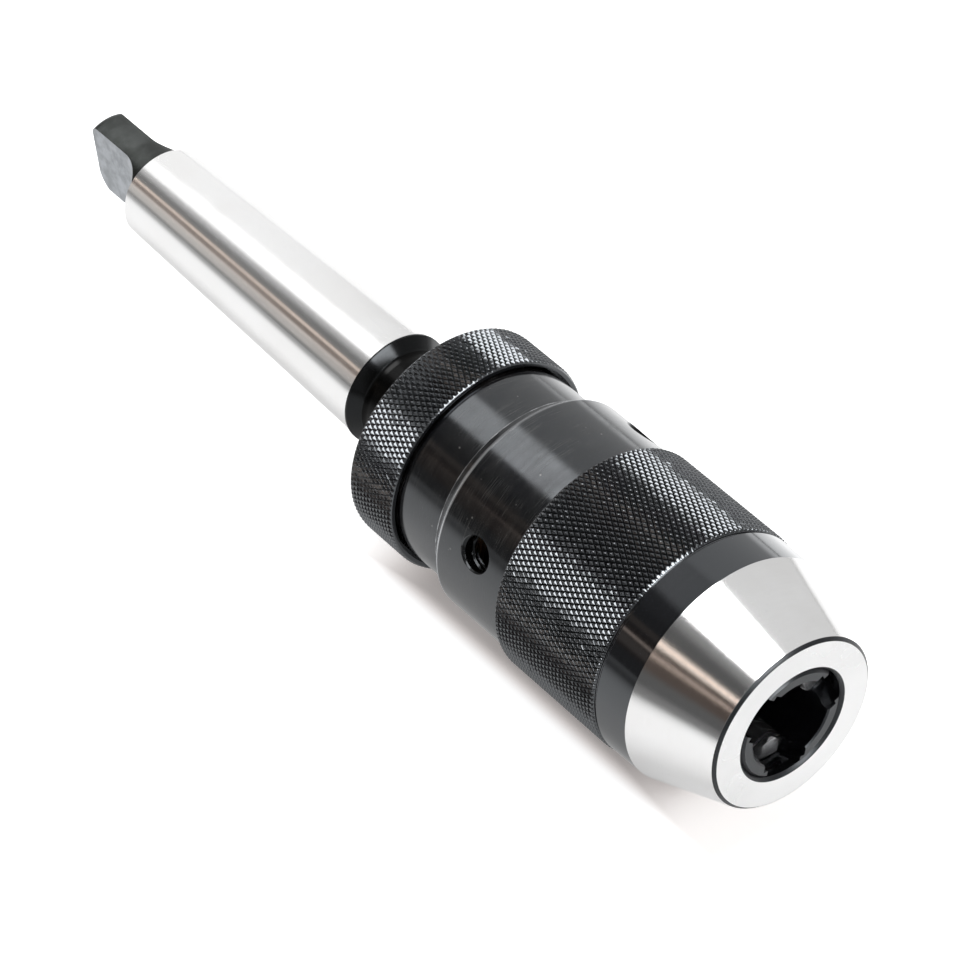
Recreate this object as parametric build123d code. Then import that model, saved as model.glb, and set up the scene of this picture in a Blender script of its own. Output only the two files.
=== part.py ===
from build123d import *
import math
import os

# Morse 3 shank: from its large end, at x = 0, back to the tang
shank_radius = 12.05
shank_slope = 0.0251
shank_length = 78.5
tang_length = 19.0
tang_radius = 8.9
tang_thickness = 6.7
tang_corner = 5.0
tang_end_round = 2.0
tang_cutter = 7.5
tang_runout = 0.7
tang_turn = 96.0
shank_edge = 0.3
centre_radius = 2.3
centre_depth = 4.0

# B16 stub taper that carries the chuck, forward from x = 0
stub_radius = 7.866
stub_slope = 0.02497
stub_length = 24.0
socket_relief = 1.0
knockout_radius = 3.5

# Chuck body: rim, neck, ring seat, journal, collar and threaded skirt
rim_radius = 12.4
rim_edge = 0.4
neck_radius = 9.8
neck_fillet = 2.0
neck_length = 10.3
neck_flare = 2.4
seat_radius = 14.0
journal_radius = 15.0
socket_floor = 4.0
collar_length = 7.0
skirt_radius = 15.5
skirt_length = 22.2
body_chamfer = 0.5

# Knurled rear ring with its key and its circlip
ring_rear = 16.5
ring_width = 12.9
ring_radius = 23.9
ring_web = 8.0
ring_wall = 1.3
ring_chamfer = 0.5
key_width = 4.0
key_height = 4.0
key_length = 6.0
circlip_thickness = 1.5
circlip_depth = 0.7
circlip_width = 2.4
circlip_opening = 34.0
circlip_lug = 2.2
circlip_lug_turn = 5.0
circlip_eye = 0.8
circlip_eye_inset = 0.3

# Outer sleeve: narrow rear part under the ring, wide front part with spanner holes
sleeve_end_gap = 0.6
sleeve_rear_radius = 22.0
sleeve_radius = 24.0
sleeve_rear_length = 16.1
sleeve_bevel_length = 2.3
sleeve_edge_drop = 0.3
sleeve_edge_length = 0.5
sleeve_length = 37.5
sleeve_bore = 20.0
sleeve_web = 10.9
sleeve_spigot = 9.4
spigot_radius = 21.5
spanner_count = 3
spanner_radius = 3.4
spanner_chamfer = 0.45
spanner_inset = 8.6
spanner_turn = 40.6
spanner_margin = 0.8

# Ball thrust bearing between the sleeve and the body's collar
race_thickness = 1.9
race_gap = 3.4
ball_count = 16
ball_radius = 2.0
cage_thickness = 1.6
washer_thickness = 1.1
o_ring_section = 2.1
o_ring_inset = 4.5
o_ring_room = 0.2

# Nose hood: knurled rear, plain band, ground cone and flat nose
hood_length = 56.2
hood_knurl_radius = 25.2
hood_knurl_length = 28.6
hood_knurl_inset = 0.7
hood_rear_drop = 0.4
hood_band_radius = 24.9
hood_groove = 0.35
hood_cone_length = 18.1
hood_cone_radius = 24.72
nose_radius = 18.9
nose_chamfer = 0.6
mouth_radius = 11.95
mouth_chamfer = 0.65
mouth_depth = 2.2

# Jaw guide, jaws and drive screw
jaw_count = 3
jaw_turn = 21.5
jaw_angle = 19.5
jaw_width = 8.0
jaw_tip_depth = 4.3
jaw_tip_chamfer = 0.5
jaw_tip_bevel = 2.0
jaw_rib_height = 1.0
jaw_rib_thickness = 2.2
jaw_rib_inset = 1.5
jaw_back_fall = 0.7
jaw_relief = 0.8
jaw_grip_length = 22.0
grip_open = 8.0
grip_rest = 6.4
grip_closed = 0.5
wedge_gap = 0.25
guide_recess = 0.15
guide_bore = 9.2
guide_lip = 0.3
guide_edge = 0.6
guide_relief = 1.5
guide_stop_gap = 1.0
screw_radius = 10.95
screw_tail_gap = 2.0
disc_radius = 14.5
disc_thickness = 11.0
disc_gap = 0.6
tee_lip = 3.0
tee_neck_width = 4.2
tee_head_width = 6.4
tee_head_depth = 3.2
tee_head_start = 8.0
tee_head_length = 4.7

# Clearances: pieces that stay together, pieces that turn or slide, and free space
seat_clearance = 0.03
running_clearance = 0.05
free_clearance = 0.3
jaw_back_gap = 0.2

# Slope of the jaws, and how far they are from fully open at rest
jaw_slope = math.tan(math.radians(jaw_angle))
jaw_cosine = math.cos(math.radians(jaw_angle))
jaw_sine = math.sin(math.radians(jaw_angle))
rest_closing = grip_open - grip_rest
rest_advance = rest_closing / jaw_slope

# Places along the axis
ring_front = ring_rear + ring_width
web_front = ring_rear + ring_web
sleeve_rear = web_front + sleeve_end_gap
sleeve_step = sleeve_rear + sleeve_rear_length
sleeve_front = sleeve_rear + sleeve_length
race_seat = sleeve_rear + sleeve_web
ball_place = race_seat + race_thickness + race_gap / 2
collar_rear = race_seat + 2 * race_thickness + race_gap
collar_front = collar_rear + collar_length
guide_rear = collar_front + washer_thickness + 2 * running_clearance
guide_step = sleeve_front + sleeve_spigot
spanner_place = sleeve_front - spanner_inset
guide_seat = spanner_place + spanner_radius + spanner_margin
skirt_end = collar_front + skirt_length
disc_rear = skirt_end + disc_gap + rest_advance
disc_front = disc_rear + disc_thickness
jaw_rear = disc_front + 2 * running_clearance
nose_face = sleeve_front + hood_length
jaw_tip = nose_face - jaw_tip_depth
guide_front = nose_face - guide_recess
mouth_back = nose_face - mouth_depth
socket_end = stub_length + socket_relief
thread_start = socket_end + socket_floor
screw_tail = thread_start + screw_tail_gap + rest_advance

# Radii and travels that follow from the sizes above
radial_travel = grip_rest - grip_closed
axial_travel = radial_travel / jaw_slope
thread_radius = screw_radius + running_clearance
hood_bore = spigot_radius + seat_clearance
ring_bore = ring_radius - ring_wall
ball_circle = (journal_radius + sleeve_bore) / 2
jaw_half_width = jaw_width / 2
jaw_back_radius = mouth_radius / jaw_cosine - jaw_back_fall
long_cut = 2 * hood_length


def turned(*points):
    """A solid turned about the X axis from a closed outline of (x, radius) points."""
    outline = make_face(Polyline(*points, close=True))
    return revolve(outline, Axis.X)


def turned_rounded(corner, radius, *points):
    """A turned solid with the outline's corner nearest to the given point rounded."""
    outline = make_face(Polyline(*points, close=True))
    vertex = outline.vertices().sort_by_distance((*corner, 0))[0]
    return revolve(fillet(vertex, radius), Axis.X)


def tube(start, end, inner, outer):
    """A plain ring about the X axis."""
    return turned((start, inner), (end, inner), (end, outer), (start, outer))


def around(shape, angle):
    """The shape turned about the X axis, from +Y towards +Z."""
    return shape.rotate(Axis.X, angle)


def spread(shape, count, start=0.0):
    """Copies of a shape spaced evenly about the X axis."""
    return [around(shape, start + i * 360 / count) for i in range(count)]


def block(start, end, low, high, width):
    """A block along X, from low to high along Y and centred on Z."""
    centre = ((start + end) / 2, (low + high) / 2, 0)
    return Pos(*centre) * Box(end - start, high - low, width)


def hood_cone_at(x):
    """Radius of the hood's inner cone, on which the backs of the jaws run."""
    return mouth_radius + (mouth_back - x) * jaw_slope


def shank_radius_at(x):
    return shank_radius + shank_slope * x


def stub_radius_at(x):
    return stub_radius - stub_slope * x


def tang_blank():
    """The tang before it is milled: a round bar, its end turned and its lower corner ground."""
    far_end = -shank_length - tang_length
    bar = turned_rounded(
        (far_end, tang_radius),
        tang_end_round,
        (far_end, 0),
        (far_end, tang_radius),
        (-shank_length, tang_radius),
        (-shank_length, 0),
    )
    side = Plane.XZ * Pos(-shank_length - tang_length / 2, 0) * Rectangle(tang_length, 2 * tang_radius)
    corner = side.vertices().group_by(Axis.X)[0].sort_by(Axis.Z)[0]
    return bar & extrude(fillet(corner, tang_corner), tang_radius, both=True)


def tang_cut(direction):
    """What the cutter takes from one side, with the sweep that runs out in the shank."""
    half = tang_thickness / 2
    far_end = -shank_length - tang_length - 1
    flat_end = -shank_length + tang_runout - tang_cutter
    flat = block(far_end, flat_end, half, half + 2 * tang_cutter, 4 * tang_radius)
    sweep = Pos(flat_end, half + tang_cutter, 0) * Cylinder(tang_cutter, 4 * tang_radius)
    cut = flat + sweep
    return cut if direction > 0 else around(cut, 180)


def taper_arbor():
    """Morse shank with its tang at the rear and the stub taper at the front."""
    shank = turned(
        (-shank_length, 0),
        (-shank_length, shank_radius_at(-shank_length) - shank_edge),
        (-shank_length + shank_edge, shank_radius_at(-shank_length)),
        (0, shank_radius),
        (0, stub_radius),
        (stub_length - body_chamfer, stub_radius_at(stub_length)),
        (stub_length, stub_radius_at(stub_length) - body_chamfer),
        (stub_length, 0),
    )
    arbor = shank + around(tang_blank(), tang_turn - 90)
    for direction in (1, -1):
        arbor -= around(tang_cut(direction), tang_turn - 90)
    for end, way in ((-shank_length - tang_length, 1), (stub_length, -1)):
        drill = turned(
            (end - way * centre_depth, 0),
            (end - way * centre_depth, 2 * centre_radius),
            (end + way * centre_depth, 0),
        )
        arbor -= drill
    return arbor


def body_outside():
    """Outer form of the chuck body, from the rim at its rear to the threaded skirt."""
    neck_start = rim_edge + rim_radius - neck_radius
    seat_start = neck_start + neck_length
    return turned_rounded(
        (neck_start, neck_radius),
        neck_fillet,
        (0, 0),
        (0, rim_radius),
        (rim_edge, rim_radius),
        (neck_start, neck_radius),
        (seat_start - neck_flare, neck_radius),
        (seat_start, seat_radius),
        (web_front, seat_radius),
        (web_front, journal_radius),
        (collar_rear, journal_radius),
        (collar_rear, sleeve_bore - running_clearance),
        (collar_front, sleeve_bore - running_clearance),
        (collar_front, skirt_radius),
        (skirt_end - body_chamfer, skirt_radius),
        (skirt_end, skirt_radius - body_chamfer),
        (skirt_end, 0),
    )


def body_inside():
    """Taper socket, knock-out hole and threaded bore in one turned cut."""
    gap = seat_clearance
    return turned(
        (-1, 0),
        (-1, stub_radius_at(-1) + gap),
        (socket_end, stub_radius_at(socket_end) + gap),
        (socket_end, knockout_radius),
        (thread_start, knockout_radius),
        (thread_start, thread_radius),
        (skirt_end - body_chamfer, thread_radius),
        (skirt_end + body_chamfer, thread_radius + 2 * body_chamfer),
        (skirt_end + body_chamfer, 0),
    )


def chuck_body():
    """Body that carries the taper socket, the bearing collar and the screw's thread."""
    groove = tube(
        ring_rear - circlip_thickness,
        ring_rear,
        seat_radius - circlip_depth,
        seat_radius + 1,
    )
    return body_outside() - body_inside() - groove - ring_key(seat_clearance)


def ring_key(gap=0.0):
    """Round-ended key that stops the rear ring from turning on its seat."""
    low = seat_radius - key_height / 2
    middle = ring_rear + ring_web / 2
    profile = Pos(middle, 0, 0) * SlotOverall(key_length + 2 * gap, key_width + 2 * gap)
    flat = Plane(origin=(0, 0, low - gap), x_dir=(1, 0, 0), z_dir=(0, 0, 1)) * profile
    return extrude(flat, key_height + 2 * gap)


def rear_grip_ring():
    """Knurled ring held still by one hand while the other turns the sleeve."""
    bore = seat_radius + seat_clearance
    ring = turned(
        (ring_rear, bore),
        (ring_rear, ring_radius - ring_chamfer),
        (ring_rear + ring_chamfer, ring_radius),
        (ring_front - ring_chamfer, ring_radius),
        (ring_front, ring_radius - ring_chamfer),
        (ring_front, ring_bore),
        (web_front, ring_bore),
        (web_front, bore),
    )
    keyway = block(
        ring_rear - 1,
        web_front + 1,
        0,
        seat_radius + key_height / 2 + seat_clearance,
        key_width + 2 * seat_clearance,
    )
    return ring - around(keyway, 90)


def ring_circlip():
    """Open circlip in the groove behind the rear ring, with an eye at each end."""
    inner = seat_radius - circlip_depth + seat_clearance
    outer = inner + circlip_width
    start = ring_rear - circlip_thickness
    half_opening = circlip_opening / 2
    clip = tube(start, ring_rear, inner, outer)
    for side in (1, -1):
        lug = Plane.YZ.offset(start) * Pos(outer, 0) * Circle(circlip_lug)
        clip += around(extrude(lug, circlip_thickness), side * (half_opening + circlip_lug_turn))
    clip -= tube(start - 1, ring_rear + 1, 0, inner)
    reach = 2 * outer
    corner = reach * math.tan(math.radians(half_opening))
    mouth = Plane.YZ.offset(start - 1) * make_face(
        Polyline((0, 0), (reach, corner), (reach, -corner), close=True)
    )
    clip -= extrude(mouth, circlip_thickness + 2)
    for side in (1, -1):
        eye = Plane.YZ.offset(start - 1) * Pos(outer + circlip_eye_inset, 0) * Circle(circlip_eye)
        clip -= around(extrude(eye, circlip_thickness + 2), side * (half_opening + circlip_lug_turn))
    return around(clip, 90)


def spanner_holes():
    """Round holes for the pin of a spanner, spread evenly round the sleeve."""
    wall = Plane(origin=(spanner_place, 0, 0), x_dir=(1, 0, 0), z_dir=(0, 1, 0))
    hole = extrude(wall * Circle(spanner_radius), sleeve_radius + 1)
    start = sleeve_radius - spanner_chamfer
    flare = Plane(origin=(spanner_place, start, 0), x_dir=(1, 0, 0), z_dir=(0, 1, 0))
    flare = extrude(flare * Circle(spanner_radius), 2 * spanner_chamfer, taper=-45)
    inside = tube(0, sleeve_front, 0, sleeve_bore - free_clearance)
    return spread((hole + flare) - inside, spanner_count, spanner_turn)


def outer_sleeve():
    """Turning sleeve that carries the bearing at its rear and the hood at its front."""
    bore = journal_radius + free_clearance
    bevel_end = sleeve_step + sleeve_bevel_length
    groove_place = sleeve_rear + o_ring_inset
    groove_half = o_ring_section / 2 + o_ring_room
    groove_radius = journal_radius + running_clearance + o_ring_section + seat_clearance
    sleeve = turned(
        (sleeve_rear, bore),
        (sleeve_rear, sleeve_rear_radius - body_chamfer),
        (sleeve_rear + body_chamfer, sleeve_rear_radius),
        (sleeve_step, sleeve_rear_radius),
        (bevel_end, sleeve_radius - sleeve_edge_drop),
        (bevel_end + sleeve_edge_length, sleeve_radius),
        (sleeve_front, sleeve_radius),
        (sleeve_front, spigot_radius),
        (guide_step, spigot_radius),
        (guide_step, sleeve_bore),
        (race_seat, sleeve_bore),
        (race_seat, bore),
        (groove_place + groove_half, bore),
        (groove_place + groove_half, groove_radius),
        (groove_place - groove_half, groove_radius),
        (groove_place - groove_half, bore),
    )
    for hole in spanner_holes():
        sleeve -= hole
    return sleeve


def dust_o_ring():
    """Rubber ring that seals the sleeve's rear bore against the body."""
    middle = journal_radius + running_clearance + o_ring_section / 2
    section = Pos(sleeve_rear + o_ring_inset, middle) * Circle(o_ring_section / 2)
    return revolve(section, Axis.X)


def ball_groove():
    """The round groove that the balls run in, a little wider than a ball."""
    section = Pos(ball_place, ball_circle) * Circle(ball_radius + running_clearance)
    return revolve(section, Axis.X)


def sleeve_race():
    """Hardened washer that sits in the sleeve and turns with it."""
    inner = journal_radius + free_clearance
    outer = sleeve_bore - seat_clearance
    return tube(race_seat, race_seat + race_thickness, inner, outer) - ball_groove()


def body_race():
    """Hardened washer that sits on the body against its collar."""
    inner = journal_radius + seat_clearance
    outer = sleeve_bore - free_clearance
    return tube(collar_rear - race_thickness, collar_rear, inner, outer) - ball_groove()


def thrust_balls():
    """The ring of steel balls."""
    ball = Pos(ball_place, ball_circle, 0) * Sphere(ball_radius)
    return Compound(children=spread(ball, ball_count))


def ball_cage():
    """Flat brass cage that spaces the balls."""
    half = cage_thickness / 2
    inner = journal_radius + free_clearance
    outer = sleeve_bore - free_clearance
    cage = tube(ball_place - half, ball_place + half, inner, outer)
    pocket = Rot(0, 90, 0) * Cylinder(ball_radius + running_clearance, 2 * cage_thickness)
    for hole in spread(Pos(ball_place, ball_circle, 0) * pocket, ball_count):
        cage -= hole
    return cage


def thrust_washer():
    """Bronze washer between the body's collar and the jaw guide."""
    start = collar_front + running_clearance
    inner = skirt_radius + free_clearance
    outer = sleeve_bore - free_clearance
    return tube(start, start + washer_thickness, inner, outer)


def nose_hood():
    """Hood with the knurled grip, the plain band and the ground cone round the jaws."""
    knurl_start = sleeve_front + hood_knurl_inset
    knurl_end = knurl_start + hood_knurl_length
    cone_start = nose_face - hood_cone_length
    bore_end = mouth_back - (hood_bore - mouth_radius) / jaw_slope
    return turned(
        (sleeve_front, hood_bore),
        (sleeve_front, hood_band_radius - hood_rear_drop),
        (knurl_start, hood_knurl_radius),
        (knurl_end, hood_knurl_radius),
        (knurl_end, hood_band_radius - hood_groove),
        (knurl_end + hood_groove, hood_band_radius - hood_groove),
        (knurl_end + 2 * hood_groove, hood_band_radius),
        (cone_start, hood_cone_radius),
        (nose_face - nose_chamfer, nose_radius),
        (nose_face, nose_radius - nose_chamfer),
        (nose_face, mouth_radius + mouth_chamfer),
        (nose_face - mouth_chamfer, mouth_radius),
        (mouth_back, mouth_radius),
        (bore_end, hood_bore),
    )


def guide_blank():
    """The jaw guide before its slots: a tube inside the hood, coned at the front."""
    cone_gap = seat_clearance / jaw_cosine
    outer = hood_bore - seat_clearance
    cone_start = mouth_back - (outer + cone_gap - mouth_radius) / jaw_slope
    bore_end = disc_front + axial_travel + guide_stop_gap
    tip_radius = mouth_radius - cone_gap
    room_start = skirt_end + free_clearance
    return turned(
        (guide_rear, skirt_radius + free_clearance),
        (guide_rear, sleeve_bore - guide_relief),
        (guide_seat, sleeve_bore - guide_relief),
        (guide_seat, sleeve_bore - seat_clearance),
        (guide_step, sleeve_bore - seat_clearance),
        (guide_step, outer),
        (cone_start, outer),
        (mouth_back, tip_radius),
        (guide_front - guide_edge, tip_radius),
        (guide_front, tip_radius - guide_edge),
        (guide_front, guide_bore + guide_lip),
        (guide_front - guide_lip, guide_bore),
        (bore_end, guide_bore),
        (bore_end, disc_radius + free_clearance),
        (room_start, disc_radius + free_clearance),
        (room_start, skirt_radius + free_clearance),
    )


def slide_plane():
    """Plane square to the slide of the jaw on +Y, its local Y pointing outwards."""
    centre = (jaw_tip, hood_cone_at(jaw_tip) - jaw_back_gap / jaw_cosine, 0)
    along = (jaw_cosine, -jaw_sine, 0)
    return Plane(origin=centre, x_dir=(0, 0, -1), z_dir=along)


def rib_bar(gap):
    """Ribs on both flanks of a jaw, as one long bar along its slide."""
    middle = -jaw_rib_inset - jaw_rib_thickness / 2
    width = jaw_width + 2 * jaw_rib_height + 2 * gap
    section = Pos(0, middle) * Rectangle(width, jaw_rib_thickness + 2 * gap)
    return extrude(slide_plane() * section, long_cut, both=True)


def guide_slot():
    """Slot for one jaw, with a guideway for its ribs sunk in each flank."""
    width = jaw_width + 2 * running_clearance
    start = jaw_rear - rest_advance - free_clearance
    opening = block(start, guide_front + 1, 0, hood_bore + 1, width)
    room = block(start, guide_front + 1, 0, hood_bore + 1, 2 * jaw_width)
    return opening + (rib_bar(running_clearance) & room)


def jaw_guide():
    """Slotted guide that leads the jaws along the hood's inner cone."""
    guide = guide_blank()
    for slot in spread(guide_slot(), jaw_count, jaw_turn):
        guide -= slot
    return guide


def jaw_bar():
    """Long bar with the jaw's cross-section: flat flanks and a rounded back."""
    drop = jaw_back_radius - math.sqrt(jaw_back_radius**2 - jaw_half_width**2)
    deep = 3 * jaw_width
    back = ThreePointArc((-jaw_half_width, -drop), (0, 0), (jaw_half_width, -drop))
    sides = Polyline(
        (jaw_half_width, -drop),
        (jaw_half_width, -deep),
        (-jaw_half_width, -deep),
        (-jaw_half_width, -drop),
    )
    section = make_face([back, sides])
    return extrude(slide_plane() * section, long_cut, both=True)


def jaw_room():
    """What the jaw on +Y may fill at rest: in front of the disc and inside the hood."""
    limit = hood_bore - free_clearance - rest_closing
    room = tube(jaw_rear, jaw_tip, grip_rest / 2, limit)
    apex = radial_travel + wedge_gap
    flank = limit * math.tan(math.radians(180 / jaw_count))
    wedge = Plane.YZ.offset(jaw_rear) * make_face(
        Polyline((apex, 0), (apex + limit, flank), (apex + limit, -flank), close=True)
    )
    room &= extrude(wedge, jaw_tip - jaw_rear)
    return room & block(jaw_rear, jaw_tip, grip_rest, 2 * limit, 4 * jaw_width)


def jaw_tee():
    """Neck and head at the rear of the jaw, held in the disc of the drive screw."""
    low = tee_head_start
    high = tee_head_start + tee_head_length
    neck_end = disc_front - tee_lip - running_clearance
    neck = block(neck_end - tee_head_depth, jaw_rear, low, high, tee_neck_width)
    head = block(neck_end - tee_head_depth, neck_end, low, high, tee_head_width)
    return neck + head


def jaw_flank_bevel(side):
    """What is ground off one flank of the jaw at its tip."""
    start = jaw_tip - jaw_tip_bevel
    corner = Plane.XZ * make_face(
        Polyline(
            (start, side * (jaw_half_width + jaw_rib_height)),
            (start, side * jaw_half_width),
            (jaw_tip, side * (jaw_half_width - jaw_tip_bevel)),
            (jaw_tip, side * (jaw_half_width + jaw_rib_height)),
            close=True,
        )
    )
    return extrude(corner, 2 * hood_bore, both=True)


def jaw_tip_cuts():
    """Lead-in for the tool shank, and the bevel on the back of the tip."""
    back = hood_cone_at(jaw_tip) - jaw_back_gap / jaw_cosine
    lead_in = turned(
        (jaw_tip - jaw_tip_chamfer, 0),
        (jaw_tip - jaw_tip_chamfer, grip_rest),
        (jaw_tip, grip_rest + jaw_tip_chamfer),
        (jaw_tip + 1, grip_rest + jaw_tip_chamfer),
        (jaw_tip + 1, 0),
    )
    bevel = turned(
        (jaw_tip - jaw_tip_bevel, back),
        (jaw_tip, back - jaw_tip_bevel),
        (jaw_tip + 1, back - jaw_tip_bevel),
        (jaw_tip + 1, 2 * back),
        (jaw_tip - jaw_tip_bevel, 2 * back),
    )
    return lead_in, bevel


def jaw():
    """One jaw on +Y in its rest place, with its grip parallel to the axis."""
    shape = (jaw_bar() + rib_bar(0)) & jaw_room()
    relief_end = jaw_tip - jaw_grip_length
    shape -= block(jaw_rear - 1, relief_end, 0, grip_rest + jaw_relief, 2 * jaw_width)
    for cut in (*jaw_tip_cuts(), jaw_flank_bevel(1), jaw_flank_bevel(-1)):
        shape -= cut
    return shape + jaw_tee()


def tee_slot():
    """Radial slot of T section in the face of the drive screw's disc."""
    gap = running_clearance
    head_front = disc_front - tee_lip
    head_rear = head_front - tee_head_depth - 2 * gap
    reach = disc_radius + 1
    neck = block(head_rear, disc_front + 1, 0, reach, tee_neck_width + 2 * gap)
    head = block(head_rear, head_front, 0, reach, tee_head_width + 2 * gap)
    return neck + head


def drive_screw():
    """Left-hand screw whose slotted disc pushes and pulls the jaws."""
    screw = turned(
        (screw_tail, knockout_radius),
        (screw_tail, screw_radius - 2 * body_chamfer),
        (screw_tail + 2 * body_chamfer, screw_radius),
        (disc_rear, screw_radius),
        (disc_rear, disc_radius),
        (disc_front, disc_radius),
        (disc_front, knockout_radius),
    )
    for slot in spread(tee_slot(), jaw_count, jaw_turn):
        screw -= slot
    return screw


def pieces():
    """Every node of the chuck by its name."""
    made = {
        "taper_arbor": taper_arbor(),
        "chuck_body": chuck_body(),
        "rear_grip_ring": rear_grip_ring(),
        "ring_key": ring_key(),
        "ring_circlip": ring_circlip(),
        "outer_sleeve": outer_sleeve(),
        "dust_o_ring": dust_o_ring(),
        "sleeve_race": sleeve_race(),
        "body_race": body_race(),
        "thrust_balls": thrust_balls(),
        "ball_cage": ball_cage(),
        "thrust_washer": thrust_washer(),
        "nose_hood": nose_hood(),
        "jaw_guide": jaw_guide(),
        "drive_screw": drive_screw(),
    }
    for number, one_jaw in enumerate(spread(jaw(), jaw_count, jaw_turn), start=1):
        made[f"jaw_{number}"] = one_jaw
    return made


os.makedirs("parts", exist_ok=True)
for name, shape in pieces().items():
    export_step(shape, f"parts/{name}.step")
    print(name, round(shape.volume, 1))
print("axial travel", round(axial_travel, 3), "jaw travel", round(radial_travel / jaw_sine, 3))
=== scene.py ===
import math
import bmesh
import bpy
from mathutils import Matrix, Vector


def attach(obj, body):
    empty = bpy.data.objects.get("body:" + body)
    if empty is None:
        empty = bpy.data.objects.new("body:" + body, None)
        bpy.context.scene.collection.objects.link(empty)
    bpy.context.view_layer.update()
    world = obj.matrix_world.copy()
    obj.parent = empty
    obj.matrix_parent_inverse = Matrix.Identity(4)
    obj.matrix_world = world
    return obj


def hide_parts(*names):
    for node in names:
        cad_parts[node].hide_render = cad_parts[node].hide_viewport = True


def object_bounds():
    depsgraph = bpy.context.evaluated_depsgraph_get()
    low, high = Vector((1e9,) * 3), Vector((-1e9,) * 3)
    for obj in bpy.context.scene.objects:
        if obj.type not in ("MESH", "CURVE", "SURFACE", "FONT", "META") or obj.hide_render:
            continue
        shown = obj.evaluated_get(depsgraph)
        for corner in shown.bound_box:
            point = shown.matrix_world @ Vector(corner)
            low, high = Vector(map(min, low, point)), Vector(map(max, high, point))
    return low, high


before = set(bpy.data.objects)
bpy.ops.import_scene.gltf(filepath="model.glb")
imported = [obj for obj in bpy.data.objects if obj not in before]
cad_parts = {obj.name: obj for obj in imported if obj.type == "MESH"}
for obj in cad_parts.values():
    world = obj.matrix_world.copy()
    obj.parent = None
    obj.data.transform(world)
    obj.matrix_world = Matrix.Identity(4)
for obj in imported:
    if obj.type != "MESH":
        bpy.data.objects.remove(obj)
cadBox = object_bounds()
print("frame loaded:", len(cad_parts), "nodes")


# small helpers for nodes

def newTree(name):
    material = bpy.data.materials.new(name)
    material.use_nodes = True
    return material, material.node_tree


def feed(tree, value, socket):
    # what another node puts out is linked, a number or a colour is set
    if isinstance(value, bpy.types.NodeSocket):
        tree.links.new(value, socket)
    else:
        socket.default_value = value


def addNode(tree, kind, inputs=None, **settings):
    node = tree.nodes.new("ShaderNode" + kind)
    for key, value in settings.items():
        setattr(node, key, value)
    for key, value in (inputs or {}).items():
        feed(tree, value, node.inputs[key])
    return node


def mathNode(tree, operation, *values, clamp=False):
    node = addNode(tree, "Math", dict(enumerate(values)), operation=operation, use_clamp=clamp)
    return node.outputs[0]


def rangeNode(tree, value, low, high, toLow=0.0, toHigh=1.0):
    node = addNode(tree, "MapRange", {"Value": value, "From Min": low, "From Max": high, "To Min": toLow,
                                      "To Max": toHigh}, interpolation_type="SMOOTHSTEP")
    return node.outputs["Result"]


def mixColour(tree, factor, first, second):
    # a Mix node's colours go into its sockets 6 and 7 and come out at 2
    first, second = ((*value, 1) if isinstance(value, tuple) else value for value in (first, second))
    return addNode(tree, "Mix", {0: factor, 6: first, 7: second}, data_type="RGBA").outputs[2]


def noiseNode(tree, vector, scale, detail):
    return addNode(tree, "TexNoise", {"Vector": vector, "Scale": scale, "Detail": detail}).outputs["Fac"]


def stretchedBy(tree, vector, scale):
    return addNode(tree, "VectorMath", {0: vector, 1: scale}, operation="MULTIPLY").outputs[0]


def newGroup(name, inputs, outputs):
    group = bpy.data.node_groups.new(name, "ShaderNodeTree")
    for side, sockets in (("INPUT", inputs), ("OUTPUT", outputs)):
        for label, kind in sockets.items():
            group.interface.new_socket(label, in_out=side, socket_type="NodeSocket" + kind)
    return group, group.nodes.new("NodeGroupInput").outputs, group.nodes.new("NodeGroupOutput").inputs


def placeGroup(tree, group, **inputs):
    return addNode(tree, "Group", inputs, node_tree=group)


# camera

view = {"place": (0.55964, -0.42151, 0.61256), "along": (-0.58015, 0.45909, -0.67280), "lens": 177.3, "sensor": 36,
        "farClip": 20}

bpy.ops.object.camera_add(location=view["place"])
camera = bpy.context.object
camera.name = "photoCamera"
camera.rotation_euler = Vector(view["along"]).to_track_quat("-Z", "Y").to_euler()
camera.data.lens = view["lens"]
camera.data.sensor_width = view["sensor"]
camera.data.clip_end = view["farClip"]
camera.data.dof.use_dof = False
scene = bpy.context.scene
scene.camera = camera
scene.view_settings.view_transform = "Standard"
print("camera set")


# studio: a white tent with a dark room before it, and lamps that run as strips along the spindle axis

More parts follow.
